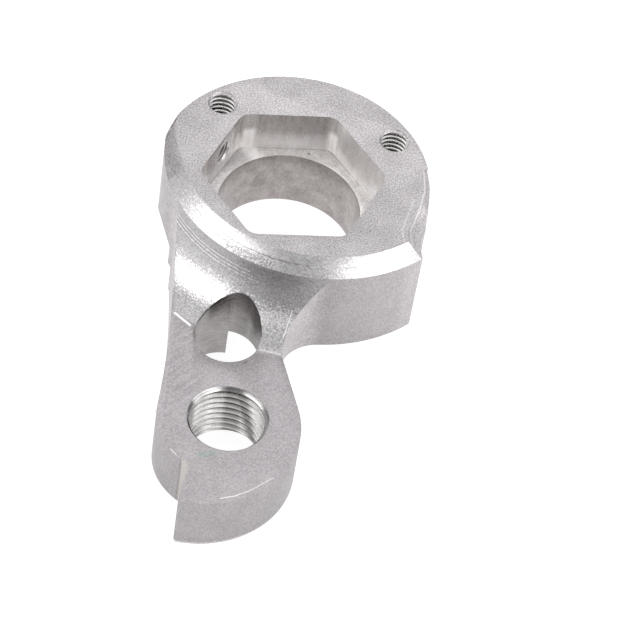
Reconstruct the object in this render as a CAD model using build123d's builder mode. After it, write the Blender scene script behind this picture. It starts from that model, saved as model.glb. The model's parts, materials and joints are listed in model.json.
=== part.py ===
from build123d import *
from math import acos, asin, atan2, cos, degrees, hypot, radians, sin, sqrt
import os

# Bicycle derailleur hanger, one piece machined from an aluminium billet.
# All sizes are in millimetres. The origin is on the axle bore's axis, on the
# flat underside of the head, which seats against the frame. +Z runs outboard
# along the bore, out of the hexagon pocket, and the arm hangs towards -Y.

# Head
head_height = 14.2          # from the underside to the flat top face
ring_radius = 17.0          # back of the head, round the axle bore
front_radius = 19.5         # front wall of the head, turned about its own centre
front_centre_x = 2.9
front_centre_y = 4.75
flank_x = 17.35             # front corner, where the flat right flank ends
flank_corner_radius = 0.8

# Axle bore and hexagon pocket
axle_bore_diameter = 18.0
hex_across_flats = 20.2
hex_corner_radius = 1.8
hex_pocket_depth = 6.1
hex_turn = 11.0             # how far the pocket is turned round the bore, in degrees

# Bevelled band round the front of the head, cut in two passes, angles round the front centre
band_width = 1.9            # measured outwards, across both passes
band_depth = 1.9
band_riser = 0.15           # small step left between the two passes
band_exit_start = 200.0     # where the cutter starts to rise on the left, in degrees
band_exit_end = 150.0       # well past where it has left the work
band_exit_lean = 7.0        # how steeply it rises

# Broken top edge along the flank
flank_edge_break = 0.6
flank_edge_start = 17.0     # where it starts on the ring, in degrees round the bore
flank_edge_end = -45.0      # past the front corner

# Shallow upright waist in the right flank, behind its front corner
waist_cutter_radius = 6.0
waist_reach = 0.5
waist_y = -5.6

# Scooped relief over the waist, made by a leaning cutter
scoop_cutter_radius = 9.5
scoop_reach = 2.35          # reach in from the flank at the top face
scoop_y = -6.1
scoop_lean = 42.0           # degrees from upright

# Arm
arm_face_height = 3.9       # outboard face of the arm, above the head's underside
arm_right_lean = 22.0       # degrees that the right edge leans from the arm's length
arm_right_fillet = 5.1      # upright fillet into the head's wall
arm_left_top_x = -13.8      # where the left edge's long hollow curve ends, beside the bore
arm_left_top_y = -3.2
arm_hole_diameter = 8.25
arm_hole_x = -4.5
arm_hole_y = -18.85

# Trimmed left edge of the head, under the level of the arm's face
trim_start_angle = 167.5    # where it leaves the ring, in degrees round the bore

# Cove that blends the head's wall into the arm's face
cove_radius = 8.0
cove_dip = 0.27             # the cutter's lowest point would lie this far under the face

# Boss for the derailleur's bolt
boss_thickness = 8.1
boss_x = -2.5
boss_y = -31.5
boss_radius = 8.5

# Stop tab for the derailleur's body, below the boss
tab_radius = 12.15
tab_centre_x = -5.7
tab_centre_y = -32.7
tab_tip_x = -6.35           # lower end of the stop face
tab_root_x = -5.9           # upper end of the stop face, on the boss
tab_root_fillet = 1.6
tab_tip_radius = 0.45
tab_rim_break = 0.2

# Step in the underside that clears the end of the frame's dropout
step_distance = 13.7        # from the bore's axis
step_direction = 225.0      # in degrees, towards the arm's left side

# Threaded holes, drilled here to their tapping size
boss_thread = 10.0
boss_thread_pitch = 1.0
boss_thread_mouth = 9.8
cover_thread = 4.0
cover_thread_pitch = 0.7
cover_thread_mouth = 3.8
cover_hole_inset = 2.5      # from the head's back edge to the holes' centres
cover_hole_right_angle = 37.0
cover_hole_left_angle = 136.0
side_thread = 3.0           # through the head's left wall, into the hexagon pocket
side_thread_pitch = 0.5
side_thread_mouth = 3.3
side_hole_depth = 2.95      # below the top face
side_hole_offset = 1.1      # from the middle of its hexagon flat, towards the back
side_hole_flat = 150.0      # direction of that flat from the pocket's first one, in degrees

# Values that follow from the sizes above
boss_tap_diameter = boss_thread - boss_thread_pitch
cover_tap_diameter = cover_thread - cover_thread_pitch
side_tap_diameter = side_thread - side_thread_pitch
boss_underside = arm_face_height - boss_thickness
full_height = head_height - boss_underside
pocket_floor = head_height - hex_pocket_depth
cover_hole_distance = ring_radius - cover_hole_inset
cutter_reach = 2 * (tab_radius - tab_centre_y)
front_axis = Axis((front_centre_x, front_centre_y, 0), (0, 0, 1))


def polar(centre_x, centre_y, radius, angle):
    """Point in the plan at an angle, in degrees, round a centre."""
    return (centre_x + radius * cos(radians(angle)), centre_y + radius * sin(radians(angle)))


def upright_plane(x, y, angle, height=0.0, lean=0.0):
    """Plane whose first axis points outwards at an angle and whose second points up, or leans."""
    outwards = (cos(radians(angle)), sin(radians(angle)), 0)
    across = (
        sin(radians(angle)) * cos(radians(lean)),
        -cos(radians(angle)) * cos(radians(lean)),
        sin(radians(lean)),
    )
    return Plane(origin=(x, y, height), x_dir=outwards, z_dir=across)


# Corners of the arm's plan. Its right edge runs up until it meets the head's front circle
right_tangent = polar(tab_centre_x, tab_centre_y, tab_radius, arm_right_lean)
edge_x, edge_y = -sin(radians(arm_right_lean)), cos(radians(arm_right_lean))
from_x, from_y = right_tangent[0] - front_centre_x, right_tangent[1] - front_centre_y
along = from_x * edge_x + from_y * edge_y
run = -along - sqrt(along ** 2 - hypot(from_x, from_y) ** 2 + front_radius ** 2)
right_meet = (right_tangent[0] + run * edge_x, right_tangent[1] + run * edge_y)
tip_angle = -90 - degrees(asin((tab_centre_x - tab_tip_x) / tab_radius))
tip = polar(tab_centre_x, tab_centre_y, tab_radius, tip_angle)
root_angle = -90 - degrees(asin((boss_x - tab_root_x) / boss_radius))
root = polar(boss_x, boss_y, boss_radius, root_angle)
left_tangent = (boss_x - boss_radius, boss_y)
left_top = (arm_left_top_x, arm_left_top_y)

# The flat flank runs from the front corner to the ring, which it meets at a tangent
flank_corner = (flank_x, front_centre_y - sqrt(front_radius ** 2 - (flank_x - front_centre_x) ** 2))
flank_turn = atan2(flank_corner[1], flank_corner[0]) + acos(ring_radius / hypot(*flank_corner))
flank_top = polar(0, 0, ring_radius, degrees(flank_turn))

# Plan of the arm with the boss and the stop tab
with BuildSketch() as arm_plan:
    with BuildLine():
        Line(right_meet, right_tangent)
        CenterArc((tab_centre_x, tab_centre_y), tab_radius, arm_right_lean, tip_angle - arm_right_lean)
        Line(tip, root)
        CenterArc((boss_x, boss_y), boss_radius, root_angle, -180 - root_angle)
        TangentArc(left_tangent, left_top, tangent=(0, 1))
        Polyline(left_top, (0, 0), right_meet)
    make_face()
    fillet(arm_plan.vertices().sort_by_distance(tip)[0], tab_tip_radius)
    fillet(arm_plan.vertices().sort_by_distance(root)[0], tab_root_fillet)

# Plan of the head: a ring with a front corner, trimmed by the larger front circle
with BuildSketch() as head_plan:
    Circle(ring_radius)
    with BuildLine():
        Polyline((0, 0), flank_top, flank_corner, (flank_x, -front_radius), (0, -front_radius), close=True)
    make_face()
    with Locations((front_centre_x, front_centre_y)):
        Circle(front_radius, mode=Mode.INTERSECT)
    fillet(head_plan.vertices().sort_by_distance(flank_corner)[0], flank_corner_radius)

# Plan of the whole piece above the arm's face
with BuildSketch(Plane.XY.offset(arm_face_height)) as upper_plan:
    add(head_plan.sketch)
    add(arm_plan.sketch)
    fillet(upper_plan.vertices().sort_by_distance(right_meet)[0], arm_right_fillet)

# Plans of the head's top layer, as the broken edge narrows it and where it keeps its full width
with BuildSketch(Plane.XY.offset(head_height - flank_edge_break)) as top_plan:
    add(head_plan.sketch)
with BuildSketch(Plane.XY.offset(head_height - flank_edge_break)) as full_top_plan:
    add(head_plan.sketch)
    with BuildLine():
        break_from = polar(0, 0, 2 * ring_radius, flank_edge_start)
        break_to = polar(0, 0, 2 * ring_radius, flank_edge_end)
        Polyline((0, 0), break_from, break_to, close=True)
    make_face(mode=Mode.SUBTRACT)

# Plan of the whole piece below the arm's face, where the head's left edge is trimmed
trim_start = polar(0, 0, ring_radius, trim_start_angle)
with BuildSketch(Plane.XY.offset(boss_underside)) as lower_plan:
    add(head_plan.sketch)
    with BuildLine():
        Polyline(
            trim_start,
            left_top,
            (left_top[0], -front_radius),
            (-front_radius, -front_radius),
            (-front_radius, trim_start[1]),
            close=True,
        )
    make_face(mode=Mode.SUBTRACT)
    add(arm_plan.sketch)
    fillet(lower_plan.vertices().sort_by_distance(right_meet)[0], arm_right_fillet)

# Section of the bevelled band, measured out from the front centre and down from the top face
band_top_r = front_radius - band_width
band_middle_r = front_radius - band_width / 2
band_slope_drop = (band_depth - band_riser) / 2
with BuildSketch() as band_section:
    with BuildLine():
        Polyline(
            (band_top_r, 0),
            (band_middle_r, -band_slope_drop),
            (band_middle_r, -band_slope_drop - band_riser),
            (front_radius, -band_depth),
            (front_radius + band_width, -band_depth),
            (front_radius + band_width, band_depth),
            (band_top_r, band_depth),
            close=True,
        )
    make_face()
band_plane = upright_plane(front_centre_x, front_centre_y, band_exit_start, head_height)
exit_axis_plane = upright_plane(front_centre_x, front_centre_y, band_exit_start, head_height, band_exit_lean)

with BuildPart() as hanger:
    extrude(lower_plan.sketch, amount=boss_thickness)
    extrude(upper_plan.sketch, amount=head_height - flank_edge_break - arm_face_height)
    extrude(top_plan.sketch, amount=flank_edge_break, taper=45)
    extrude(full_top_plan.sketch, amount=flank_edge_break)

    # Step in the underside
    with BuildSketch(Plane.XY.rotated((0, 0, step_direction))):
        with Locations((step_distance, 0)):
            Rectangle(cutter_reach, cutter_reach, align=(Align.MAX, Align.CENTER))
    extrude(amount=-full_height, mode=Mode.SUBTRACT)

    # Broken edge round the tab's lower rim
    rim = hanger.edges().filter_by(GeomType.CIRCLE).filter_by(Plane.XY).group_by(Axis.Z)[0]
    chamfer(rim.filter_by(lambda e: abs(e.radius - tab_radius) < tab_rim_break), tab_rim_break)

    # Axle bore
    with Locations(Plane.XY.offset(head_height)):
        Hole(axle_bore_diameter / 2)

    # Hexagon pocket
    with BuildSketch(Plane.XY.offset(pocket_floor)) as hexagon:
        RegularPolygon(hex_across_flats / 2, 6, major_radius=False, rotation=hex_turn)
        fillet(hexagon.vertices(), hex_corner_radius)
    extrude(amount=full_height, mode=Mode.SUBTRACT)

    # Bevelled band round the front, in two passes with a small riser between them
    with BuildSketch(band_plane):
        add(band_section.sketch)
    revolve(axis=front_axis, revolution_arc=360 - band_exit_start, mode=Mode.SUBTRACT)

    # Left end of the band, where the cutter rises out of the work
    with BuildSketch(band_plane):
        add(band_section.sketch)
    exit_axis = Axis(exit_axis_plane.origin, -exit_axis_plane.y_dir)
    revolve(axis=exit_axis, revolution_arc=band_exit_start - band_exit_end, mode=Mode.SUBTRACT)

    # Waist in the right flank
    with BuildSketch():
        with Locations((flank_x - waist_reach + waist_cutter_radius, waist_y)):
            Circle(waist_cutter_radius)
    extrude(amount=full_height, mode=Mode.SUBTRACT)

    # Scooped relief on the right flank
    scoop_centre_x = flank_x - scoop_reach + scoop_cutter_radius / cos(radians(scoop_lean))
    scoop_plane = Plane(
        origin=(scoop_centre_x, scoop_y, head_height),
        x_dir=(cos(radians(scoop_lean)), 0, sin(radians(scoop_lean))),
        z_dir=(-sin(radians(scoop_lean)), 0, cos(radians(scoop_lean))),
    )
    with BuildSketch(scoop_plane):
        Circle(scoop_cutter_radius)
    extrude(amount=full_height, both=True, mode=Mode.SUBTRACT)

    # Mill the arm down to its face, with a cove left against the head's wall
    cove_centre_r = front_radius + cove_radius
    cove_centre_z = arm_face_height - cove_dip + cove_radius
    cove_foot_r = cove_centre_r - sqrt(cove_radius ** 2 - (cove_radius - cove_dip) ** 2)
    cove_middle = cove_radius * cos(radians(45))
    with BuildSketch(upright_plane(front_centre_x, front_centre_y, -90)):
        with BuildLine():
            ThreePointArc(
                (front_radius, cove_centre_z),
                (cove_centre_r - cove_middle, cove_centre_z - cove_middle),
                (cove_foot_r, arm_face_height),
            )
            Polyline(
                (cove_foot_r, arm_face_height),
                (cutter_reach, arm_face_height),
                (cutter_reach, head_height + full_height),
                (front_radius, head_height + full_height),
                (front_radius, cove_centre_z),
            )
        make_face()
    revolve(axis=front_axis, mode=Mode.SUBTRACT)

    # Lightening hole through the arm
    with Locations(Plane(origin=(arm_hole_x, arm_hole_y, head_height))):
        Hole(arm_hole_diameter / 2)

    # Tapped holes: the boss, the two for the cover, and the side one into a hexagon flat
    with Locations(Plane(origin=(boss_x, boss_y, arm_face_height))):
        CounterSinkHole(boss_tap_diameter / 2, boss_thread_mouth / 2, counter_sink_angle=90)
    with Locations(Plane.XY.offset(head_height)):
        with PolarLocations(cover_hole_distance, 1, start_angle=cover_hole_right_angle):
            CounterSinkHole(cover_tap_diameter / 2, cover_thread_mouth / 2, counter_sink_angle=90)
        with PolarLocations(cover_hole_distance, 1, start_angle=cover_hole_left_angle):
            CounterSinkHole(cover_tap_diameter / 2, cover_thread_mouth / 2, counter_sink_angle=90)

    side_angle = hex_turn + side_hole_flat
    side_x, side_y = polar(0, 0, hex_across_flats / 2, side_angle)
    side_plane = Plane(
        origin=(
            side_x + side_hole_offset * sin(radians(side_angle)),
            side_y - side_hole_offset * cos(radians(side_angle)),
            head_height - side_hole_depth,
        ),
        z_dir=(-cos(radians(side_angle)), -sin(radians(side_angle)), 0),
    )
    with Locations(side_plane):
        CounterSinkHole(
            side_tap_diameter / 2, side_thread_mouth / 2, depth=ring_radius - axle_bore_diameter / 2,
            counter_sink_angle=90,
        )
hanger.part.label = "hanger"
os.makedirs("parts", exist_ok=True)
export_step(hanger.part, "parts/hanger.step")
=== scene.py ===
import json
from math import atan2, ceil, cos, degrees, pi, radians, sin

import bpy
from bpy.props import FloatProperty, FloatVectorProperty, IntProperty, PointerProperty
from mathutils import Matrix, Vector

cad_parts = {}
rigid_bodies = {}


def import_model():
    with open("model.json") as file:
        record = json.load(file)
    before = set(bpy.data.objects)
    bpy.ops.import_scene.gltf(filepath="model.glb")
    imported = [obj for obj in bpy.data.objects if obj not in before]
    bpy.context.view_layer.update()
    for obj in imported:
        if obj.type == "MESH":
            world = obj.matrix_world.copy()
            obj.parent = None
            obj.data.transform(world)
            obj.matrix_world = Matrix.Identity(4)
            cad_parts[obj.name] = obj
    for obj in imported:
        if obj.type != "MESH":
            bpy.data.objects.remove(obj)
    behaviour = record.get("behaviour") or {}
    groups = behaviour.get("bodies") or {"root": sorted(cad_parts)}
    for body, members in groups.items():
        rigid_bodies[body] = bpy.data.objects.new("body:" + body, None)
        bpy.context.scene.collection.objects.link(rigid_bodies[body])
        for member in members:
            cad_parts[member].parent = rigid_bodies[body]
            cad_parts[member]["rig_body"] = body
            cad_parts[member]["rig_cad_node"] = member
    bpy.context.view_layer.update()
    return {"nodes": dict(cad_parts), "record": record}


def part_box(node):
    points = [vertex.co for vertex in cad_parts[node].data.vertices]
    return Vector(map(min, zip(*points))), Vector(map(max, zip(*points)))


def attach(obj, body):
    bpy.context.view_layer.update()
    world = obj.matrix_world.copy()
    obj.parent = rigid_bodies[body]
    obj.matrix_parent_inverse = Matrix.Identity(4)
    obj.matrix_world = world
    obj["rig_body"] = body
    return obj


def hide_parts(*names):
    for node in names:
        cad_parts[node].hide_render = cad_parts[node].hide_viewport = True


# The dressed bicycle derailleur hanger: the machined piece with its broken edges,
# its cut threads and its finishes, on a pale studio floor.

bl_info = {
    "name": "Derailleur Hanger Finish",
    "version": (1, 0, 0),
    "blender": (4, 5, 0),
    "location": "3D View > Sidebar > Hanger",
    "description": "Cuts the threads of a machined derailleur hanger and gives it its finish",
    "category": "Object",
}

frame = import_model()

MM = 0.001

# Diameter and pitch of the threads in millimetres, and the groove's depth as a share of the pitch
M3_THREAD = (3.0, 0.5)
M4_THREAD = (4.0, 0.7)
M10_THREAD = (10.0, 1.0)
GROOVE_DEPTH = 0.5413
# Points closer than these are one point, in millimetres: in the solid's mesh, and after a cut
MESH_MERGE = 0.002
THREAD_WELD = 0.0005
# Faces that differ by less are one face, edges sharper than the next angle are broken, and edges
# duller than the last are shaded smooth
FLAT_ANGLE = radians(0.4)
BREAK_ANGLE = radians(28)
SMOOTH_ANGLE = radians(24)

# Places and sizes in the frame, in millimetres, and bearings in degrees.
# The centre of the big front circle that the band and the cove are turned about
FRONT_CENTRE = (2.9, 4.75)
ARM_FACE = 3.9
ARM_HOLE = (-4.5, -18.85)
BOSS_THREAD = (-2.5, -31.5)
# Cover threads: radius of their circle about the bore, and their bearings in degrees
COVER_CIRCLE = 14.5
COVER_BEARINGS = (37, 136)
# Reach of the finish on the walls of each upright hole, from the hole's centre
BOSS_REACH = 5.06
ARM_HOLE_REACH = 4.15
COVER_REACH = 2.1
# Bore and pocket: reach from the bore's centre, and the heights that bound them
BORE_REACH, BORE_HIGH = 9.3, 8.6
POCKET_REACH, POCKET_LOW, POCKET_HIGH = 12.2, 7.9, 14.05
# Side hole: direction, distance from the bore's centre, height, reach, and the radius of its mouth
SIDE_HOLE_AXIS = (-0.9455, 0.3256)
SIDE_HOLE_OFFSET = 1.1
SIDE_HOLE_HEIGHT = 11.25
SIDE_HOLE_REACH = 1.7
SIDE_HOLE_MOUTH = 17.2
# Band: a cone about the front centre, cut in two passes with a riser between them. It falls by
# BAND_FALL per millimetre outward, and each pass is given by its height at the front centre
BAND_FALL = 0.921
BAND_UPPER_PASS = 30.41
BAND_LOWER_PASS = 30.26
BAND_RISER = 18.55
BAND_INSIDE = 17.5
BAND_OUTSIDE = 19.5
BAND_LEFT_END = -158
# Section of the cove: its centre's distance from the front centre and height, and its radius
COVE_CENTRE = (27.5, 11.63)
COVE_RADIUS = 8.0
# Arm's left edge strip: normal and distance of the planes that bound it
EDGE_STRIP_UPPER = ((-0.9837, -0.1631, -0.0762), 13.535)
EDGE_STRIP_LOWER = ((-0.9975, -0.0712, 0.0037), 12.44)

BLACK = (0.0, 0.0, 0.0)
WHITE = (1.0, 1.0, 1.0)
# The bright, pale and warm colours paint highlights along edges and on a fillet; the dark one paints
# dots, a nick, strokes at a rim and the painted shade of a crease; the green one paints stains
BRIGHT = (0.95, 0.95, 0.95)
DARK = (0.12, 0.11, 0.11)
GREEN = (0.22, 0.36, 0.31)
PALE = (0.8, 0.78, 0.79)
WARM_HIGHLIGHT = (0.66, 0.61, 0.55)
# Marks of each finish, painted highlights and painted shade among them: start, end, width, colour
# and strength
HEAD_MARKS_AND_HIGHLIGHTS = (
    # Painted highlights: pale lines down the right flank, at the top face's edge and along the scoop
    ((15.81, 4.67), (16.29, 0.83), 0.16, PALE, 0.6),
    ((16.29, 0.83), (16.0, -1.9), 0.16, PALE, 0.6),
    ((16.0, -1.9), (15.28, -5.77), 0.16, PALE, 0.6),
    ((15.28, -5.77), (15.85, -8.06), 0.16, PALE, 0.6),
    ((15.16, -0.69), (14.26, -6.01), 0.16, PALE, 0.35),
    ((14.26, -6.01), (14.7, -7.99), 0.16, PALE, 0.35),
    # A dark dot on the top, and dark broken strokes at the head's left rim
    ((10.4, -7.19), (10.4, -7.15), 0.22, DARK, 0.8),
    ((-15.61, 6.06), (-16.05, 4.88), 0.2, DARK, 0.6),
    ((-16.2, 4.25), (-16.42, 3.1), 0.16, DARK, 0.5),
    ((-16.62, 1.6), (-16.63, 1.5), 0.24, DARK, 0.6),
)
ARM_MARKS_AND_HIGHLIGHTS = (
    # Painted highlight where the arm's face meets the cove
    ((-11.3, -16.69), (-9.2, -18.17), 0.3, BRIGHT, 1.0),
    # A dark nick and a green stain
    ((-1.85, -22.63), (-1.6, -22.4), 0.3, DARK, 0.5),
    ((-4.7, -37.6), (-3.5, -37.1), 0.8, GREEN, 0.35),
    # Painted highlights: along the boss's upper left edge, a warm one on the fillet in the tab's
    # inner corner, and along the boss's front top edge
    ((-8.32, -37.54), (-6.74, -39.16), 0.16, BRIGHT, 0.45),
    ((-6.5, -39.5), (-6.35, -40.2), 1.1, WARM_HIGHLIGHT, 0.4),
    ((-1.55, -43.46), (0.21, -42.67), 0.13, BRIGHT, 0.65),
    ((0.21, -42.67), (1.91, -41.37), 0.13, BRIGHT, 0.55),
    ((1.91, -41.37), (4.07, -39.15), 0.13, BRIGHT, 0.4),
)
COVE_HIGHLIGHTS = (
    # Painted highlights along the cove's edges with the arm's face and with the front wall's fillet
    ((-11.3, -16.69), (-9.2, -18.17), 0.3, BRIGHT, 1.0),
    ((-0.25, -20.16), (2.24, -20.4), 0.25, PALE, 0.45),
    ((2.76, -16.03), (2.25, -18.45), 0.12, BRIGHT, 0.8),
)
WALL_SHADE_AND_HIGHLIGHT = (
    # Painted shade in the crease where the boss meets the tab, and a warm painted highlight on the
    # fillet beside it
    ((-6.94, -38.75), (-6.92, -38.76), 0.22, DARK, 0.5),
    ((-6.3, -39.1), (-6.2, -39.2), 1.2, WARM_HIGHLIGHT, 0.4),
)
POCKET_MARKS = (
    ((-8.51, 0.51), (-8.45, 0.6), 0.35, GREEN, 0.8),
    ((1.26, 9.82), (1.3, 9.82), 0.3, DARK, 0.8),
)


def mount(name):
    """Place and size of one of the record's mounts."""
    return next(m for m in frame["record"]["mounts"] if m["name"] == name)


class HangerShape(bpy.types.PropertyGroup):
    """Sizes of the broken edges and of the cut threads"""
    edge_break: FloatProperty(
        name="Edge break", description="Width of the small bevel on every machined edge",
        default=0.09 * MM, min=0.0, unit="LENGTH", precision=5)
    thread_steps: IntProperty(
        name="Thread steps", description="Steps in each turn of a thread", default=48, min=12)


def colour_property(name, description, default):
    """One colour that the user may change."""
    return FloatVectorProperty(name=name, description=description, subtype="COLOR", size=3,
                               default=default, min=0.0, max=1.0)


class HangerFinish(bpy.types.PropertyGroup):
    """Colours and softness of the finishes"""
    skin_light: colour_property(
        "Skin, light", "Light grains of the blasted skin", (0.75, 0.723, 0.739))
    skin_dark: colour_property(
        "Skin, dark", "Dark grains of the blasted skin", (0.359, 0.339, 0.35))
    arm_light: colour_property(
        "Arm, light", "Light grains of the faced arm", (0.533, 0.507, 0.522))
    arm_dark: colour_property(
        "Arm, dark", "Dark grains of the faced arm", (0.359, 0.337, 0.35))
    wall_light: colour_property(
        "Wall, light", "Light grains of the blasted walls", (0.62, 0.592, 0.607))
    wall_dark: colour_property(
        "Wall, dark", "Dark grains of the blasted walls", (0.42, 0.396, 0.409))
    cut_light: colour_property(
        "Cut metal, light", "Bright lines of freshly cut metal", (0.86, 0.85, 0.85))
    cut_dark: colour_property(
        "Cut metal, dark", "Dull lines of freshly cut metal", (0.50, 0.48, 0.49))
    pocket_light: colour_property(
        "Pocket, light", "Bright streaks of the milled pocket", (0.97, 0.945, 0.935))
    pocket_dark: colour_property(
        "Pocket, dark", "Dull streaks of the milled pocket", (0.72, 0.685, 0.675))
    bore_light: colour_property(
        "Bore, light", "Bright scratches of the bore", (0.54, 0.5, 0.494))
    bore_dark: colour_property(
        "Bore, dark", "Dull scratches of the bore", (0.275, 0.245, 0.24))
    hole_light: colour_property(
        "Arm hole, light", "Bright lines of the reamed hole", (0.42, 0.40, 0.40))
    hole_dark: colour_property(
        "Arm hole, dark", "Dull lines of the reamed hole", (0.27, 0.255, 0.25))
    thread_light: colour_property(
        "Thread, light", "Bright flanks of the threads", (0.90, 0.88, 0.875))
    thread_dark: colour_property(
        "Thread, dark", "Dull flanks of the threads", (0.62, 0.60, 0.595))
    skin_roughness: FloatProperty(
        name="Skin roughness", description="How soft the blasted skin's shine is",
        subtype="FACTOR", default=0.5, min=0.0, max=1.0)
    cut_roughness: FloatProperty(
        name="Cut metal roughness", description="How soft the cut metal's shine is",
        subtype="FACTOR", default=0.28, min=0.0, max=1.0)


class HangerStudio(bpy.types.PropertyGroup):
    """Floor, lights and camera"""
    floor_colour: FloatVectorProperty(
        name="Floor", description="Colour of the studio floor",
        subtype="COLOR", size=3, default=(0.35, 0.35, 0.35), min=0.0, max=1.0)
    floor_glow: FloatProperty(
        name="Floor glow", description="Light that the floor gives of itself",
        default=0.85, min=0.0)
    air: FloatProperty(
        name="Air", description="Strength of the even light all round", default=0.55, min=0.0)
    side_power: FloatProperty(
        name="Side boxes", description="Power of the two side boxes in watts", default=1.3, min=0.0)
    back_power: FloatProperty(
        name="Back box", description="Power of the back box in watts", default=2.6, min=0.0)
    elevation: FloatProperty(
        name="Camera elevation", description="Height of the camera above the horizon",
        subtype="ANGLE", default=radians(48.915))
    roll: FloatProperty(
        name="Camera roll", description="Turn of the camera about its own line of sight",
        subtype="ANGLE", default=radians(9.975))
    distance: FloatProperty(
        name="Camera distance", description="From the camera to the point that it looks at",
        default=343.55 * MM, unit="LENGTH")
    aim: FloatVectorProperty(
        name="Camera aim", description="Point that the camera looks at",
        subtype="TRANSLATION", size=3, default=(6.285 * MM, -22.718 * MM, 14.2 * MM))
    lens: FloatProperty(
        name="Lens", description="Focal length in millimetres, on a 36 mm sensor", default=163.72)


def deselect_all():
    """Leaves edit mode and deselects every object."""
    if bpy.context.object and bpy.context.object.mode != "OBJECT":
        bpy.ops.object.mode_set(mode="OBJECT")
    bpy.ops.object.select_all(action="DESELECT")


def make_active(piece):
    """Selects one object alone and makes it the active one."""
    deselect_all()
    piece.select_set(True)
    bpy.context.view_layer.objects.active = piece


def finish_modifiers(piece):
    """Applies every modifier of the piece, in order."""
    make_active(piece)
    for modifier in list(piece.modifiers):
        bpy.ops.object.modifier_apply(modifier=modifier.name)


def thread_cutter(name, diameter, pitch, centre, axis, start, end, steps):
    """Helical bar with the section of a thread groove, for one tapped hole.

    start and end are distances along axis from centre, and the bar runs past both."""
    tap = diameter / 2 - GROOVE_DEPTH * pitch
    inner = tap - 0.25 * pitch
    turns = ceil((end - start) / pitch)
    deselect_all()
    bpy.ops.mesh.primitive_circle_add(vertices=6, radius=pitch / 2, fill_type="NOTHING")
    bar = bpy.context.object
    bar.name = name
    # The groove's section in the XZ plane: open flank, flat root, open flank
    mouth, root = 0.375 * pitch, 0.0625 * pitch
    section = (
        (inner, -mouth), (tap, -mouth), (diameter / 2, -root),
        (diameter / 2, root), (tap, mouth), (inner, mouth),
    )
    for vertex, (x, z) in zip(bar.data.vertices, section):
        vertex.co = (x, 0.0, z)
    screw = bar.modifiers.new("Helix", "SCREW")
    screw.axis = "Z"
    screw.angle = 2 * pi
    screw.screw_offset = pitch
    screw.iterations = turns
    screw.steps = steps
    screw.render_steps = steps
    screw.use_merge_vertices = False
    finish_modifiers(bar)
    bpy.ops.object.mode_set(mode="EDIT")
    bpy.ops.mesh.select_all(action="DESELECT")
    bpy.ops.mesh.select_mode(type="EDGE")
    bpy.ops.mesh.select_non_manifold()
    bpy.ops.mesh.fill()
    bpy.ops.mesh.select_all(action="SELECT")
    bpy.ops.mesh.normals_make_consistent(inside=False)
    bpy.ops.object.mode_set(mode="OBJECT")
    turn = Vector((0, 0, 1)).rotation_difference(Vector(axis))
    shift = Matrix.Translation(Vector(centre) + Vector(axis) * start)
    bar.matrix_world = shift @ turn.to_matrix().to_4x4()
    bpy.ops.object.transform_apply(location=True, rotation=True, scale=True)
    return bar


class HANGER_OT_body(bpy.types.Operator):
    """Copies the machined solid, merges its faces and breaks its sharp edges"""
    bl_idname = "hanger.add_body"
    bl_label = "Machined body"

    def execute(self, context):
        node = frame["nodes"]["hanger"]
        shape = context.scene.hanger_shape
        make_active(node)
        bpy.ops.object.duplicate()
        body = context.object
        body.name = "hanger_body"
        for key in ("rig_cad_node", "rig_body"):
            if key in body:
                del body[key]
        body.parent = None
        body.data.materials.clear()
        bpy.ops.object.mode_set(mode="EDIT")
        bpy.ops.mesh.select_all(action="SELECT")
        bpy.ops.mesh.customdata_custom_splitnormals_clear()
        bpy.ops.mesh.remove_doubles(threshold=MESH_MERGE * MM)
        bpy.ops.mesh.dissolve_limited(angle_limit=FLAT_ANGLE)
        bpy.ops.object.mode_set(mode="OBJECT")
        bevel = body.modifiers.new("Edge break", "BEVEL")
        bevel.limit_method = "ANGLE"
        bevel.angle_limit = BREAK_ANGLE
        bevel.width = shape.edge_break
        bevel.segments = 2
        bevel.use_clamp_overlap = True
        bevel.miter_outer = "MITER_ARC"
        finish_modifiers(body)
        return {"FINISHED"}


class HANGER_OT_threads(bpy.types.Operator):
    """Cuts the helical threads into the four tapped holes"""
    bl_idname = "hanger.cut_threads"
    bl_label = "Threads"

    def execute(self, context):
        body = bpy.data.objects["hanger_body"]
        steps = context.scene.hanger_shape.thread_steps
        box_low, box_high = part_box("hanger")
        upright = (0, 0, 1)
        # Each thread's cutter: name, size, centre, direction, start, end and steps in a turn.
        # The small threads come before the large one: in the other order the cuts leave gaps
        side = mount("side_thread")
        half = (0.5 * side["dims"]["length_mm"] + 0.5) * MM
        threads = [("side_thread", M3_THREAD, side["pos_m"], side["axis"], -half, half, steps)]
        for name in ("cover_thread_right", "cover_thread_left"):
            x, y, _ = mount(name)["pos_m"]
            threads.append((name, M4_THREAD, (x, y, 0.0), upright, 0.0, box_high.z, steps))
        x, y, _ = mount("derailleur_thread")["pos_m"]
        threads.append(("boss_thread", M10_THREAD, (x, y, 0.0), upright,
                        box_low.z, ARM_FACE * MM, steps * 2))
        for name, size, centre, axis, start, end, fine in threads:
            diameter, pitch = size[0] * MM, size[1] * MM
            bar = thread_cutter(
                name, diameter, pitch, centre, axis, start - pitch, end + pitch, fine)
            cut = body.modifiers.new(name, "BOOLEAN")
            cut.operation = "DIFFERENCE"
            cut.solver = "EXACT"
            cut.object = bar
            finish_modifiers(body)
            bpy.data.objects.remove(bar)
            bpy.ops.object.mode_set(mode="EDIT")
            bpy.ops.mesh.select_all(action="SELECT")
            bpy.ops.mesh.remove_doubles(threshold=THREAD_WELD * MM)
            bpy.ops.object.mode_set(mode="OBJECT")
        return {"FINISHED"}


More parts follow.
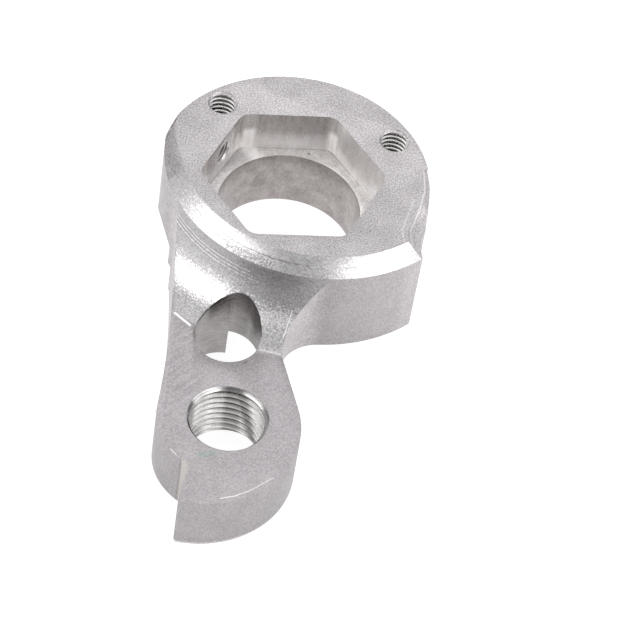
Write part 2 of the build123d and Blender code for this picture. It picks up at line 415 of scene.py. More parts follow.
def new_material(name):
    """New material with an empty node tree, its shader and the object's own coordinates."""
    made = bpy.data.materials.new(name)
    made.use_nodes = True
    tree = made.node_tree
    tree.nodes.clear()
    out = tree.nodes.new("ShaderNodeOutputMaterial")
    shader = tree.nodes.new("ShaderNodeBsdfPrincipled")
    tree.links.new(shader.outputs["BSDF"], out.inputs["Surface"])
    place = tree.nodes.new("ShaderNodeTexCoord").outputs["Object"]
    return made, tree, shader, place


def feed(tree, source, socket):
    """Links a socket or sets a plain value."""
    if isinstance(source, bpy.types.NodeSocket):
        tree.links.new(source, socket)
    else:
        socket.default_value = source


def maths(tree, operation, first, second=0.0, clamp=False):
    """One step of arithmetic on two sockets or numbers."""
    node = tree.nodes.new("ShaderNodeMath")
    node.operation = operation
    node.use_clamp = clamp
    feed(tree, first, node.inputs[0])
    feed(tree, second, node.inputs[1])
    return node.outputs[0]


def product(tree, *factors):
    """All the factors multiplied."""
    result = factors[0]
    for factor in factors[1:]:
        result = maths(tree, "MULTIPLY", result, factor)
    return result


def noise(tree, vector, grain, detail=2.0, roughness=0.55):
    """Noise whose grains measure about grain metres."""
    node = tree.nodes.new("ShaderNodeTexNoise")
    feed(tree, vector, node.inputs["Vector"])
    node.inputs["Scale"].default_value = 1.0 / grain
    node.inputs["Detail"].default_value = detail
    node.inputs["Roughness"].default_value = roughness
    return node.outputs["Fac"]


def spread(tree, value, low, high, to_low=0.0, to_high=1.0):
    """Stretches the part of a value between low and high over a new range."""
    node = tree.nodes.new("ShaderNodeMapRange")
    feed(tree, value, node.inputs["Value"])
    feed(tree, low, node.inputs["From Min"])
    feed(tree, high, node.inputs["From Max"])
    feed(tree, to_low, node.inputs["To Min"])
    feed(tree, to_high, node.inputs["To Max"])
    return node.outputs["Result"]


def blend(tree, share, first, second):
    """Mixes two colours."""
    node = tree.nodes.new("ShaderNodeMix")
    node.data_type = "RGBA"
    feed(tree, share, node.inputs["Factor"])
    feed(tree, first, node.inputs[6])
    feed(tree, second, node.inputs[7])
    return node.outputs[2]


def relief(tree, height, depth):
    """Bump of a height from 0 to 1 over depth metres."""
    node = tree.nodes.new("ShaderNodeBump")
    node.inputs["Strength"].default_value = 1.0
    node.inputs["Distance"].default_value = depth
    feed(tree, height, node.inputs["Height"])
    return node.outputs["Normal"]


def paint(colour):
    """A colour with full strength, as the shader's sockets take it."""
    return (*colour, 1.0)


def parts(tree, place):
    """The three coordinates of a place."""
    split = tree.nodes.new("ShaderNodeSeparateXYZ")
    feed(tree, place, split.inputs[0])
    return split.outputs["X"], split.outputs["Y"], split.outputs["Z"]


def joined(tree, x, y, z):
    """A place from three coordinates."""
    join = tree.nodes.new("ShaderNodeCombineXYZ")
    for value, socket in zip((x, y, z), join.inputs):
        feed(tree, value, socket)
    return join.outputs[0]


def around(tree, place, centre):
    """Distance in metres from an upright axis, angle round it from -180 to 180, and height."""
    x, y, z = parts(tree, place)
    across = maths(tree, "SUBTRACT", x, centre[0] * MM)
    along = maths(tree, "SUBTRACT", y, centre[1] * MM)
    squares = maths(tree, "ADD", product(tree, across, across), product(tree, along, along))
    radius = maths(tree, "SQRT", squares)
    angle = maths(tree, "MULTIPLY", maths(tree, "ARCTAN2", along, across), degrees(1.0))
    return radius, angle, z


def stroke(tree, place, start, end, width):
    """1 on a straight stroke between two points of the XY plane, 0 off it. Sizes in millimetres."""
    x, y, _ = parts(tree, place)
    run = Vector(end) - Vector(start)
    length = max(run.length, 0.001)
    along_x, along_y = run / length
    from_x = maths(tree, "SUBTRACT", x, start[0] * MM)
    from_y = maths(tree, "SUBTRACT", y, start[1] * MM)
    along = maths(tree, "ADD", product(tree, from_x, along_x), product(tree, from_y, along_y))
    across = maths(tree, "SUBTRACT", product(tree, from_x, along_y), product(tree, from_y, along_x))
    reached = maths(tree, "MINIMUM", maths(tree, "MAXIMUM", along, 0.0), length * MM)
    past = maths(tree, "SUBTRACT", along, reached)
    squares = maths(tree, "ADD", product(tree, past, past), product(tree, across, across))
    away = maths(tree, "SQRT", squares)
    return spread(tree, away, 0.25 * width * MM, 0.75 * width * MM, 1.0, 0.0)


def marked(tree, place, colour, marks):
    """Lays marks over a colour. Each mark is (start, end, width, colour, strength)."""
    for start, end, width, tone, strength in marks:
        share = product(tree, stroke(tree, place, start, end, width), strength)
        colour = blend(tree, share, colour, paint(tone))
    return colour


def metal(name, dark, light, mottle, roughness, depth, shade=None, marks=(), metallic=1.0):
    """Bare aluminium. mottle and shade are functions of the tree and the place, and roughness and
    metallic are such functions or plain numbers.

    mottle gives the pattern, from 0 to 1, that picks between the dark and the light tone, and is
    also the relief, depth millimetres deep. shade is painted light and shade: it darkens the colour
    by a factor."""
    made, tree, shader, place = new_material(name)
    pattern = mottle(tree, place)
    colour = blend(tree, pattern, paint(dark), paint(light))
    # Painted light and shade: the shade's factor darkens the colour towards black
    if shade is not None:
        factor = shade(tree, place)
        colour = blend(tree, factor, paint(BLACK), colour)
    colour = marked(tree, place, colour, marks)
    feed(tree, colour, shader.inputs["Base Color"])
    shine = metallic(tree, place) if callable(metallic) else metallic
    feed(tree, shine, shader.inputs["Metallic"])
    soft = roughness(tree, place) if callable(roughness) else roughness
    ripple = spread(tree, noise(tree, place, 0.24 * MM), 0.3, 0.7, -0.06, 0.06)
    feed(tree, maths(tree, "ADD", soft, ripple), shader.inputs["Roughness"])
    feed(tree, relief(tree, pattern, depth * MM), shader.inputs["Normal"])
    return made


def grains(size, low, high, cloud=3.0, share=0.25):
    """Speckle of blasted metal: grains of size millimetres over a faint cloud."""
    def mottle(tree, place):
        fine = spread(tree, noise(tree, place, size * MM, 1.0, 0.6), low, high)
        wide = spread(tree, noise(tree, place, cloud * MM, 3.0), 0.3, 0.7)
        return maths(tree, "ADD", product(tree, fine, 1.0 - share), product(tree, wide, share))
    return mottle


def turned_lines(centre, width, sweep, share, low=0.34, high=0.66):
    """Lines that run round an upright axis, as a turning tool leaves them, broken into dashes.

    width is the lines' width and sweep how far a dash runs, in millimetres at a radius of 20 mm,
    and share is how much the lines show beside the speckle."""
    def mottle(tree, place):
        radius, angle, z = around(tree, place, centre)
        swept = product(tree, angle, radians(20.0) * MM * width / sweep)
        stretched = joined(tree, radius, swept, z)
        lines = noise(tree, stretched, width * MM, 2.0, 0.6)
        dots = noise(tree, place, 0.2 * MM, 1.0)
        mixed = maths(tree, "ADD", product(tree, lines, share), product(tree, dots, 1.0 - share))
        return spread(tree, mixed, low, high)
    return mottle


def streaks(stretch, grain, low=0.3, high=0.7, stain=1.6, share=0.35):
    """Streaks drawn out along the axes by the factors of stretch, over stains.

    grain is the streaks' width and stain the stains' size, in millimetres, and share is how much
    the stains show beside the streaks."""
    def mottle(tree, place):
        x, y, z = parts(tree, place)
        drawn = joined(tree, product(tree, x, 1.0 / stretch[0]), product(tree, y, 1.0 / stretch[1]),
                       product(tree, z, 1.0 / stretch[2]))
        fine = spread(tree, noise(tree, drawn, grain * MM, 2.0, 0.6), low, high)
        wide = spread(tree, noise(tree, place, stain * MM, 3.0, 0.6), 0.35, 0.65)
        return maths(tree, "ADD", product(tree, fine, 1.0 - share), product(tree, wide, share))
    return mottle


def between(tree, value, low, high, soft):
    """1 where a value lies between low and high, fading to 0 over soft."""
    rise = spread(tree, value, low - soft, low + soft)
    fall = spread(tree, value, high - soft, high + soft, 1.0, 0.0)
    return product(tree, rise, fall)


def ragged_angle(tree, place):
    """Distance, angle and height about the front centre. The angle is stippled, so that one finish
    runs into another with a ragged fringe."""
    radius, angle, z = around(tree, place, FRONT_CENTRE)
    stipple = product(tree, maths(tree, "SUBTRACT", noise(tree, place, 0.22 * MM, 1.0), 0.5), 60.0)
    return radius, maths(tree, "ADD", angle, stipple), z


def blend_value(tree, share, first, second):
    """Mixes two plain values."""
    rest = maths(tree, "SUBTRACT", 1.0, share)
    return maths(tree, "ADD", maths(tree, "MULTIPLY", first, rest), product(tree, share, second))


def rings(tree, height, crest, pitch):
    """Even rings one above another: 1 at the height crest and each pitch from it, -1 between."""
    return maths(tree, "COSINE", product(
        tree, maths(tree, "SUBTRACT", height, crest * MM), 2 * pi / (pitch * MM)))


def band_shade(tree, place):
    """Painted shade on the band: darker in its middle, at its left end and towards its right end,
    with a broken dark crease along the riser between its passes, all with stippled edges.
    """
    radius, ragged, _ = ragged_angle(tree, place)
    middle = between(tree, ragged, -117.0, -78.0, 6.0)
    left = spread(tree, ragged, -145.0, -133.0, 1.0, 0.0)
    # Painted shade of the crease along the riser, broken by noise
    crease = product(tree, between(tree, radius, 18.5 * MM, 18.6 * MM, 0.06 * MM),
                     between(tree, ragged, -112.0, -74.0, 4.0),
                     spread(tree, noise(tree, place, 0.7 * MM, 1.0), 0.42, 0.52))
    tone = maths(tree, "SUBTRACT", 1.0, product(tree, middle, 0.2))
    tone = maths(tree, "SUBTRACT", tone, product(tree, left, 0.3))
    lower_pass = spread(tree, radius, 18.6 * MM, 18.8 * MM)
    ends = maths(tree, "ADD", product(tree, between(tree, ragged, -119.0, -104.0, 4.0), 0.4),
                 spread(tree, ragged, -62.0, -50.0, 0.0, 0.2))
    tone = maths(tree, "SUBTRACT", tone, product(tree, ends, lower_pass))
    tone = maths(tree, "SUBTRACT", tone, spread(tree, ragged, -54.0, -44.0, 0.0, 0.15), True)
    return maths(tree, "SUBTRACT", tone, product(tree, crease, 0.3))


def band_gloss(tree, place):
    """The band's left end is as soft as the blasted skin."""
    _, ragged, _ = ragged_angle(tree, place)
    return spread(tree, ragged, -145.0, -133.0, 0.5, 0.33)


def beyond(tree, place, plane):
    """1 outside a plane, given by its normal and its distance in millimetres, and 0 inside it."""
    x, y, z = parts(tree, place)
    normal, distance = plane
    level = maths(tree, "ADD", product(tree, x, normal[0]), product(tree, y, normal[1]))
    height = maths(tree, "ADD", level, product(tree, z, normal[2]))
    return spread(tree, height, (distance - 0.05) * MM, (distance + 0.05) * MM)


def cove_shade(tree, place):
    """Painted shade and highlights on the cove: grey near the band, darkest in its middle and darker
    low down, with three fine ribs painted bright, and a grey strip along the arm's left edge painted
    for an edge facet that is not modelled.
    """
    _, ragged, z = ragged_angle(tree, place)
    fine = noise(tree, place, 0.25 * MM, 1.0)
    speckle = product(tree, maths(tree, "SUBTRACT", fine, 0.5), 5.0 * MM)
    height = maths(tree, "ADD", z, speckle)
    start = maths(tree, "ADD", spread(tree, ragged, -138.0, -122.0, 6.2 * MM, 7.6 * MM),
                  spread(tree, ragged, -118.0, -108.0, 0.0, -0.7 * MM))
    upper = spread(tree, maths(tree, "SUBTRACT", height, start), -0.4 * MM, 0.4 * MM)
    lower = spread(tree, height, 4.9 * MM, 5.7 * MM, 1.0, 0.0)
    middle = product(tree, between(tree, ragged, -110.0, -66.0, 5.0),
                     spread(tree, height, 6.4 * MM, 8.2 * MM))
    tone = maths(tree, "SUBTRACT", 0.92, product(tree, upper, 0.3))
    tone = maths(tree, "SUBTRACT", tone, product(tree, middle, 0.12))
    tone = maths(tree, "SUBTRACT", tone, product(tree, lower, 0.3))
    # Painted highlights and shade of three fine turned ribs
    ribs = product(tree, between(tree, z, 9.35 * MM, 10.85 * MM, 0.05 * MM),
                   spread(tree, ragged, -120.0, -100.0, 1.0, 0.0))
    wave = rings(tree, z, 10.6, 0.5)
    tone = maths(tree, "ADD", tone, product(tree, ribs, spread(tree, wave, -1.0, 1.0, -0.18, 0.3)))
    strip = beyond(tree, place, EDGE_STRIP_UPPER)
    return blend_value(tree, strip, tone, 0.55)


def cove_gloss(tree, place):
    """The cove's left part is burnished, and the rest softer."""
    _, angle, z = around(tree, place, FRONT_CENTRE)
    burnished = product(tree, spread(tree, angle, -118.0, -106.0, 1.0, 0.0),
                        spread(tree, z, 7.6 * MM, 8.4 * MM, 1.0, 0.0))
    return spread(tree, burnished, 0.0, 1.0, 0.46, 0.28)


def wall_shade(tree, place):
    """Painted light and shade on the walls: the head's front wall is lightest in the fillet beside
    the cove, with lighter scales there, and towards the right; a painted highlight runs along the
    tab's lower rim, and the walls at the far left are darker.
    """
    x, y, z = parts(tree, place)
    across = maths(tree, "ADD", product(tree, x, 0.916), product(tree, y, -0.4))
    fillet = spread(tree, across, 9.9 * MM, 12.0 * MM)
    scales = spread(tree, noise(tree, place, 0.5 * MM, 1.0), 0.52, 0.62, 0.0, 0.16)
    fillet = product(tree, maths(tree, "SUBTRACT", 1.0, fillet), maths(tree, "ADD", 0.24, scales))
    right = maths(tree, "ADD", spread(tree, x, 7.0 * MM, 15.0 * MM, 0.0, 0.12),
                  spread(tree, x, 15.2 * MM, 16.2 * MM, 0.0, 0.1))
    head = spread(tree, y, -23.0 * MM, -21.0 * MM)
    # Painted highlight along the tab's lower rim
    rim = product(tree, spread(tree, z, -3.8 * MM, -3.6 * MM, 0.28, 0.0),
                  spread(tree, y, -42.0 * MM, -39.0 * MM, 1.0, 0.0))
    tone = maths(tree, "ADD", 0.72, product(tree, maths(tree, "ADD", fillet, right), head))
    tone = maths(tree, "ADD", tone, rim)
    return product(tree, tone, spread(tree, x, -14.5 * MM, -13.2 * MM, 0.8, 1.0))


def pocket_zones(tree, place):
    """Height, and the shares of the pocket's two rounded back corners and of its side flats."""
    _, angle, z = around(tree, place, (0.0, 0.0))
    wall = spread(tree, z, 8.15 * MM, 8.4 * MM)
    corners = maths(tree, "ADD", between(tree, angle, 122.5, 130.0, 1.5),
                    between(tree, angle, 66.0, 72.5, 1.5))
    sides = maths(tree, "ADD", between(tree, angle, -20.0, 65.0, 2.0),
                  product(tree, between(tree, angle, 136.0, 190.0, 2.0), -1.6))
    corners = product(tree, corners, spread(tree, z, 11.2 * MM, 12.0 * MM, 1.0, 0.2))
    # The floor before the left back corner shares the corner's painted highlight
    floor = product(tree, between(tree, angle, 119.0, 130.0, 3.0),
                    maths(tree, "SUBTRACT", 1.0, wall))
    return z, maths(tree, "ADD", product(tree, corners, wall), floor), product(tree, sides, wall)


def pocket_shade(tree, place):
    """Painted highlights and shade in the pocket: its rounded back corners and side flats are
    lighter than its back flat and floor, its left flat is darker, and its walls are lighter low
    down. The left of its floor is darker.
    """
    z, corners, sides = pocket_zones(tree, place)
    x, _, _ = parts(tree, place)
    tone = maths(tree, "ADD", 0.8, product(tree, corners, 0.2))
    tone = maths(tree, "ADD", tone, product(tree, sides, 0.1))
    floor = product(tree, spread(tree, z, 8.2 * MM, 8.4 * MM, 1.0, 0.0),
                    spread(tree, x, -8.0 * MM, -4.0 * MM, 0.25, 0.0))
    tone = maths(tree, "SUBTRACT", tone, floor)
    return product(tree, tone, spread(tree, z, 9.0 * MM, 11.5 * MM, 1.05, 0.97))


def pocket_metal(tree, place):
    """The lighter parts of the pocket shine less like a mirror."""
    z, corners, sides = pocket_zones(tree, place)
    low = product(tree, spread(tree, z, 9.0 * MM, 11.4 * MM, 0.65, 0.0),
                  spread(tree, z, 8.15 * MM, 8.4 * MM))
    dull = maths(tree, "ADD", product(tree, corners, 0.85), product(tree, sides, 0.3))
    return maths(tree, "SUBTRACT", 0.85, maths(tree, "MAXIMUM", dull, low), True)


def head_shade(tree, place):
    """Painted light and shade on the head's top: lightest at its back, a little darker at its front
    and left, and darker on the sloping faces at its far left.
    """
    x, y, z = parts(tree, place)
    tone = maths(tree, "ADD", spread(tree, y, -14.0 * MM, 10.0 * MM, 0.8, 0.92),
                 spread(tree, y, 9.0 * MM, 15.0 * MM, 0.0, 0.08))
    tone = maths(tree, "SUBTRACT", tone, spread(tree, x, -14.0 * MM, -8.0 * MM, 0.04, 0.0))
    slope = product(tree, spread(tree, z, 13.7 * MM, 14.1 * MM, 1.0, 0.0),
                    spread(tree, x, -12.0 * MM, -10.0 * MM, 1.0, 0.0))
    return maths(tree, "SUBTRACT", tone, product(tree, slope, 0.13))


def thread_shade(tree, place):
    """Painted highlights and shade in the arm's thread: bright at its back left and its right,
    darker between and towards the rim, with painted dark rings of thread on its mouth.
    """
    radius, angle, z = around(tree, place, BOSS_THREAD)
    twisted = maths(tree, "SUBTRACT", angle, product(tree, z, 4.5 / MM))
    darkest = product(tree, between(tree, twisted, 54.0, 74.0, 6.0),
                      spread(tree, z, 0.0, 3.0 * MM, 0.65, 0.4))
    left = spread(tree, angle, 124.0, 140.0, 0.0, 0.3)
    middle = product(tree, between(tree, angle, 74.0, 100.0, 4.0), 0.38)
    # How much painted shade lowers the tone
    dull = maths(tree, "ADD", left, maths(tree, "MAXIMUM", darkest, middle))
    crests = rings(tree, z, 3.42, 0.3)
    mouth = product(tree, spread(tree, z, 3.2 * MM, 3.3 * MM),
                    spread(tree, crests, -0.4, 0.8, 0.2, 0.45))
    tone = product(tree, maths(tree, "SUBTRACT", 1.0, dull), maths(tree, "SUBTRACT", 1.0, mouth),
                   spread(tree, z, 1.6 * MM, 3.4 * MM, 1.0, 0.8))
    near = spread(tree, radius, 5.2 * MM, 5.6 * MM, 1.0, 0.0)
    return blend_value(tree, near, 1.0, tone)


def thread_metal(tree, place):
    """The side hole's thread is dull enough to catch the light that falls into the pocket."""
    x, _, z = parts(tree, place)
    dull = product(tree, spread(tree, z, 5.0 * MM, 7.0 * MM),
                   spread(tree, x, -12.0 * MM, -11.6 * MM, 0.7, 0.0))
    return maths(tree, "SUBTRACT", 1.0, dull)


def arm_shade(tree, place):
    """Painted light on the arm: a lighter strip along its left edge, painted for an edge facet that
    is not modelled, and a lighter patch between the holes; faint arcs of the cutter cross its face.
    """
    upper = beyond(tree, place, EDGE_STRIP_UPPER)
    x, y, _ = parts(tree, place)
    upper = product(tree, upper, spread(tree, y, -17.6 * MM, -16.6 * MM))
    lower = product(tree, beyond(tree, place, EDGE_STRIP_LOWER),
                    spread(tree, y, -17.6 * MM, -16.6 * MM, 1.0, 0.0))
    along = maths(tree, "ADD", product(tree, x, 0.634), product(tree, y, 0.773))
    across = maths(tree, "SUBTRACT", product(tree, x, 0.773), product(tree, y, 0.634))
    arcs = noise(tree, joined(tree, product(tree, along, 0.04), across, 0.0), 0.3 * MM, 2.0)
    patch = product(tree, spread(tree, x, -7.5 * MM, -4.0 * MM, 1.0, 0.3),
                    spread(tree, y, -36.0 * MM, -30.0 * MM))
    tone = maths(tree, "ADD", 0.92, product(tree, patch, spread(tree, arcs, 0.35, 0.65, -0.1, 0.1)))
    # Painted light between the holes
    bridge = product(tree, between(tree, y, -27.2 * MM, -22.0 * MM, 1.5 * MM),
                     between(tree, x, -7.5 * MM, 1.5 * MM, 2.0 * MM))
    tone = maths(tree, "ADD", tone, product(tree, bridge, 0.08))
    return blend_value(tree, maths(tree, "MAXIMUM", upper, lower), tone, 1.0)


def bore_shade(tree, place):
    """Painted light and shade in the bore: a little lighter on its right side, and dark towards the
    front there.
    """
    x, y, _ = parts(tree, place)
    front = product(tree, spread(tree, x, 4.5 * MM, 6.5 * MM),
                    spread(tree, y, -5.0 * MM, -1.0 * MM, 0.3, 0.0))
    return maths(tree, "SUBTRACT", spread(tree, x, 2.0 * MM, 8.0 * MM, 0.9, 1.0), front)


def hole_shade(tree, place):
    """Painted shade in the arm hole: darker on its right side, with a painted highlight streaking
    down it; two dark crescents lie under its upper rim."""
    x, _, z = parts(tree, place)
    _, angle, _ = around(tree, place, ARM_HOLE)
    dark = spread(tree, x, -5.0 * MM, -1.8 * MM, 1.0, 0.62)
    streak = between(tree, x, -2.3 * MM, -1.9 * MM, 0.25 * MM)
    tone = maths(tree, "ADD", dark, product(tree, streak, 0.25))
    # The upper rim is where the hole meets the cove
    front, _, _ = around(tree, place, FRONT_CENTRE)
    across = maths(tree, "SUBTRACT", COVE_CENTRE[0] * MM, front)
    squares = maths(tree, "SUBTRACT", (COVE_RADIUS * MM) ** 2, product(tree, across, across))
    rim = maths(tree, "SUBTRACT", COVE_CENTRE[1] * MM, maths(tree, "SQRT", squares))
    below = maths(tree, "SUBTRACT", rim, z)
    first = product(tree, between(tree, below, 0.05 * MM, 0.6 * MM, 0.1 * MM),
                    between(tree, angle, 100.0, 165.0, 10.0))
    second = product(tree, between(tree, below, 0.95 * MM, 1.15 * MM, 0.1 * MM),
                     between(tree, angle, 88.0, 125.0, 8.0))
    broken = spread(tree, noise(tree, place, 0.6 * MM, 1.0), 0.35, 0.5)
    crescents = product(tree, maths(tree, "ADD", first, second), broken, 0.6)
    return maths(tree, "SUBTRACT", tone, crescents, True)


def region_of(centre, normal):
    """Name of the finish for a face, from its centre in millimetres and its normal."""
    x, y, z = centre
    across, along, upward = normal
    level = abs(upward) >= 0.98
    head = (x * x + y * y) ** 0.5
    front = ((x - FRONT_CENTRE[0]) ** 2 + (y - FRONT_CENTRE[1]) ** 2) ** 0.5
    holes = [(BOSS_THREAD, BOSS_REACH, "tapped_thread"), (ARM_HOLE, ARM_HOLE_REACH, "reamed_hole")]
    for turn in map(radians, COVER_BEARINGS):
        cover = (COVER_CIRCLE * cos(turn), COVER_CIRCLE * sin(turn))
        holes.append((cover, COVER_REACH, "tapped_thread"))
    for (hole_x, hole_y), reach, name in holes:
        if ((x - hole_x) ** 2 + (y - hole_y) ** 2) ** 0.5 < reach and not level:
            return "blasted_skin" if upward > 0.3 and z > 13.9 else name
    if head < BORE_REACH and z < BORE_HIGH and not level:
        return "bored_wall"
    if head < POCKET_REACH and POCKET_LOW < z < POCKET_HIGH:
        return "milled_pocket"
    side_x, side_y = SIDE_HOLE_AXIS
    aside = abs(x * side_y - y * side_x + SIDE_HOLE_OFFSET)
    if (x < 0 and aside < SIDE_HOLE_REACH and abs(z - SIDE_HOLE_HEIGHT) < SIDE_HOLE_REACH
            and head < SIDE_HOLE_MOUTH and abs(across * side_x + along * side_y) < 0.9):
        return "tapped_thread"
    bearing = degrees(atan2(y - FRONT_CENTRE[1], x - FRONT_CENTRE[0]))
    rise = z + BAND_FALL * front
    on_pass = abs(rise - BAND_UPPER_PASS) < 0.06 or abs(rise - BAND_LOWER_PASS) < 0.06
    on_riser = abs(front - BAND_RISER) < 0.03
    if (BAND_INSIDE < front < BAND_OUTSIDE + 0.1 and z > 12.2 and BAND_LEFT_END < bearing < 0
            and (on_pass or on_riser)):
        return "turned_band"
    if (front > BAND_INSIDE and z > 11.9 and 0.2 < upward < 0.95
            and (bearing <= BAND_LEFT_END or bearing > 120)):
        return "blasted_skin"
    hollow = ((COVE_CENTRE[0] - front) ** 2 + (COVE_CENTRE[1] - z) ** 2) ** 0.5
    outward = (across * (x - FRONT_CENTRE[0]) + along * (y - FRONT_CENTRE[1])) / max(front, 1.0)
    if abs(hollow - COVE_RADIUS) < 0.12 and z < COVE_CENTRE[1] and outward > 0.0 and bearing < -40:
        return "turned_cove"
    if (abs(front - BAND_OUTSIDE) < 0.1 and outward > 0.9 and z > 11.0
            and BAND_LEFT_END < bearing < -70):
        return "turned_cove"
    # Bevels round the arm's outline and the tab's lower rim get a painted highlight
    if (3.7 < z < ARM_FACE and 0.15 < upward < 0.97) or (z < -4.1 and -0.97 < upward < -0.15):
        return "edge_highlight"
    if z < 4.6 and upward > 0.5:
        return "faced_arm"
    if z > 9.0 and upward > 0.1:
        return "blasted_skin"
    return "blasted_wall"


class HANGER_OT_finish(bpy.types.Operator):
    """Gives each face of the hanger the finish of the cutter or the blasting that made it"""
    bl_idname = "hanger.finish_faces"
    bl_label = "Finishes"

    def execute(self, context):
        body = bpy.data.objects["hanger_body"]
        finish = context.scene.hanger_finish
        skin, cut = finish.skin_roughness, finish.cut_roughness
        finishes = {
            "blasted_skin": metal(
                "blasted_skin", finish.skin_dark, finish.skin_light, grains(0.2, 0.36, 0.64),
                skin, 0.02, shade=head_shade, marks=HEAD_MARKS_AND_HIGHLIGHTS),
            "blasted_wall": metal(
                "blasted_wall", finish.wall_dark, finish.wall_light, grains(0.23, 0.34, 0.66),
                skin, 0.03, shade=wall_shade, marks=WALL_SHADE_AND_HIGHLIGHT),
            "faced_arm": metal(
                "faced_arm", finish.arm_dark, finish.arm_light, grains(0.22, 0.34, 0.66),
                skin, 0.015, shade=arm_shade, marks=ARM_MARKS_AND_HIGHLIGHTS),
            # Painted highlight on the broken edges: lighter than the skin, with the cut metal's
            # roughness
            "edge_highlight": metal(
                "edge_highlight", finish.skin_light, finish.cut_light, grains(0.3, 0.4, 0.6),
                cut, 0.004),
            "turned_band": metal(
                "turned_band", finish.cut_dark, finish.cut_light,
                turned_lines(FRONT_CENTRE, 0.12, 1.2, 0.45),
                band_gloss, 0.012, shade=band_shade),
            "turned_cove": metal(
                "turned_cove", finish.cut_dark, finish.cut_light,
                turned_lines(FRONT_CENTRE, 0.16, 1.6, 0.25),
                cove_gloss, 0.012, shade=cove_shade, marks=COVE_HIGHLIGHTS),
            "milled_pocket": metal(
                "milled_pocket", finish.pocket_dark, finish.pocket_light,
                streaks((1.0, 1.0, 6.0), 0.5),
                cut - 0.06, 0.006, shade=pocket_shade, marks=POCKET_MARKS, metallic=pocket_metal),
            "bored_wall": metal(
                "bored_wall", finish.bore_dark, finish.bore_light,
                streaks((1.0, 1.0, 2.5), 0.16, stain=2.2, share=0.5),
                cut + 0.05, 0.012, shade=bore_shade),
            "tapped_thread": metal(
                "tapped_thread", finish.thread_dark, finish.thread_light,
                streaks((4.0, 4.0, 1.0), 0.35),
                cut - 0.06, 0.0015, shade=thread_shade, metallic=thread_metal),
            "reamed_hole": metal(
                "reamed_hole", finish.hole_dark, finish.hole_light, streaks((6.0, 6.0, 0.6), 0.3),
                cut, 0.006, shade=hole_shade),
        }
        order = list(finishes)
        for made in finishes.values():
            body.data.materials.append(made)
        for face in body.data.polygons:
            name = region_of(tuple(face.center / MM), tuple(face.normal))
            face.material_index = order.index(name)
        make_active(body)
        bpy.ops.object.shade_smooth_by_angle(angle=SMOOTH_ANGLE)
        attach(body, "root")
        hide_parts("hanger")
        return {"FINISHED"}


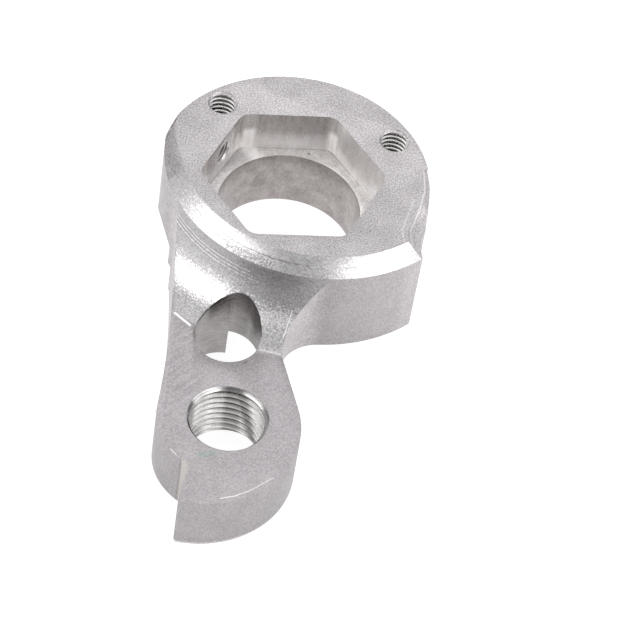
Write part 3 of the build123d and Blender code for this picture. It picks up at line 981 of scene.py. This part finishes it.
class HANGER_OT_studio(bpy.types.Operator):
    """Sets the pale floor, the soft lights and the camera"""
    bl_idname = "hanger.add_studio"
    bl_label = "Studio"

    def execute(self, context):
        studio = context.scene.hanger_studio
        low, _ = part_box("hanger")
        deselect_all()
        bpy.ops.mesh.primitive_plane_add(size=1.6, location=(0, 0, low.z))
        floor = context.object
        floor.name = "studio_floor"
        bpy.ops.object.transform_apply(location=True, rotation=True, scale=True)
        paper, tree, shader, place = new_material("studio_paper")
        shade = spread(tree, noise(tree, place, 90 * MM), 0.3, 0.7, 0.97, 1.0)
        colour = blend(tree, shade, paint(BLACK), paint(studio.floor_colour))
        feed(tree, colour, shader.inputs["Base Color"])
        shader.inputs["Roughness"].default_value = 0.9
        shader.inputs["Emission Color"].default_value = paint(WHITE)
        shader.inputs["Emission Strength"].default_value = studio.floor_glow
        floor.data.materials.append(paper)

        world = bpy.data.worlds.new("studio_air")
        world.use_nodes = True
        air = world.node_tree.nodes["Background"]
        air.inputs["Color"].default_value = paint(WHITE)
        air.inputs["Strength"].default_value = studio.air
        context.scene.world = world
        context.scene.view_settings.view_transform = "Standard"

        # The three boxes face one point. Each has its bearing and height in degrees, its distance,
        # width and height in metres, and its power in watts
        centre = Vector((0, -14 * MM, 5 * MM))
        for name, azimuth, height, away, width, tall, power in (
            ("box_left", 209, 26, 0.5, 0.48, 0.38, studio.side_power),
            ("box_right", -21, 28, 0.5, 0.65, 0.4, studio.side_power * 1.3),
            ("box_back", 90, 64, 0.6, 1.0, 1.05, studio.back_power),
        ):
            towards = Vector((cos(radians(azimuth)) * cos(radians(height)),
                              sin(radians(azimuth)) * cos(radians(height)), sin(radians(height))))
            bpy.ops.object.light_add(type="AREA", location=centre + towards * away)
            lamp = context.object
            lamp.name = name
            lamp.rotation_euler = towards.to_track_quat("Z", "Y").to_euler()
            lamp.data.shape = "RECTANGLE"
            lamp.data.size = width
            lamp.data.size_y = tall
            lamp.data.energy = power

        sight = (Matrix.Rotation(radians(90) - studio.elevation, 4, "X")
                 @ Matrix.Rotation(studio.roll, 4, "Z"))
        back = Vector((0, -cos(studio.elevation), sin(studio.elevation)))
        bpy.ops.object.camera_add(location=Vector(studio.aim) + back * studio.distance)
        camera = context.object
        camera.name = "studio_camera"
        camera.rotation_euler = sight.to_euler()
        camera.data.lens = studio.lens
        camera.data.sensor_width = 36.0
        camera.data.clip_start = 0.01
        camera.data.clip_end = 10.0
        context.scene.camera = camera
        return {"FINISHED"}


class HANGER_PT_panel(bpy.types.Panel):
    """Lists the steps and the sizes and colours that they use"""
    bl_label = "Derailleur Hanger"
    bl_idname = "HANGER_PT_panel"
    bl_space_type = "VIEW_3D"
    bl_region_type = "UI"
    bl_category = "Hanger"

    def draw(self, context):
        scene = context.scene
        for group in (scene.hanger_shape, scene.hanger_finish, scene.hanger_studio):
            box = self.layout.box()
            for name in group.__annotations__:
                box.prop(group, name)
        for step in STEPS:
            self.layout.operator(step.bl_idname)


STEPS = (HANGER_OT_body, HANGER_OT_threads, HANGER_OT_finish, HANGER_OT_studio)
CLASSES = (HangerShape, HangerFinish, HangerStudio, *STEPS, HANGER_PT_panel)


def register():
    """Makes the settings, the steps and the panel known."""
    for made in CLASSES:
        bpy.utils.register_class(made)
    bpy.types.Scene.hanger_shape = PointerProperty(type=HangerShape)
    bpy.types.Scene.hanger_finish = PointerProperty(type=HangerFinish)
    bpy.types.Scene.hanger_studio = PointerProperty(type=HangerStudio)


def unregister():
    """Takes back what register did."""
    del bpy.types.Scene.hanger_studio
    del bpy.types.Scene.hanger_finish
    del bpy.types.Scene.hanger_shape
    for made in reversed(CLASSES):
        bpy.utils.unregister_class(made)


def main():
    """Runs the steps in order."""
    register()
    bpy.ops.hanger.add_body()
    bpy.ops.hanger.cut_threads()
    bpy.ops.hanger.finish_faces()
    bpy.ops.hanger.add_studio()


if __name__ == "__main__":
    main()
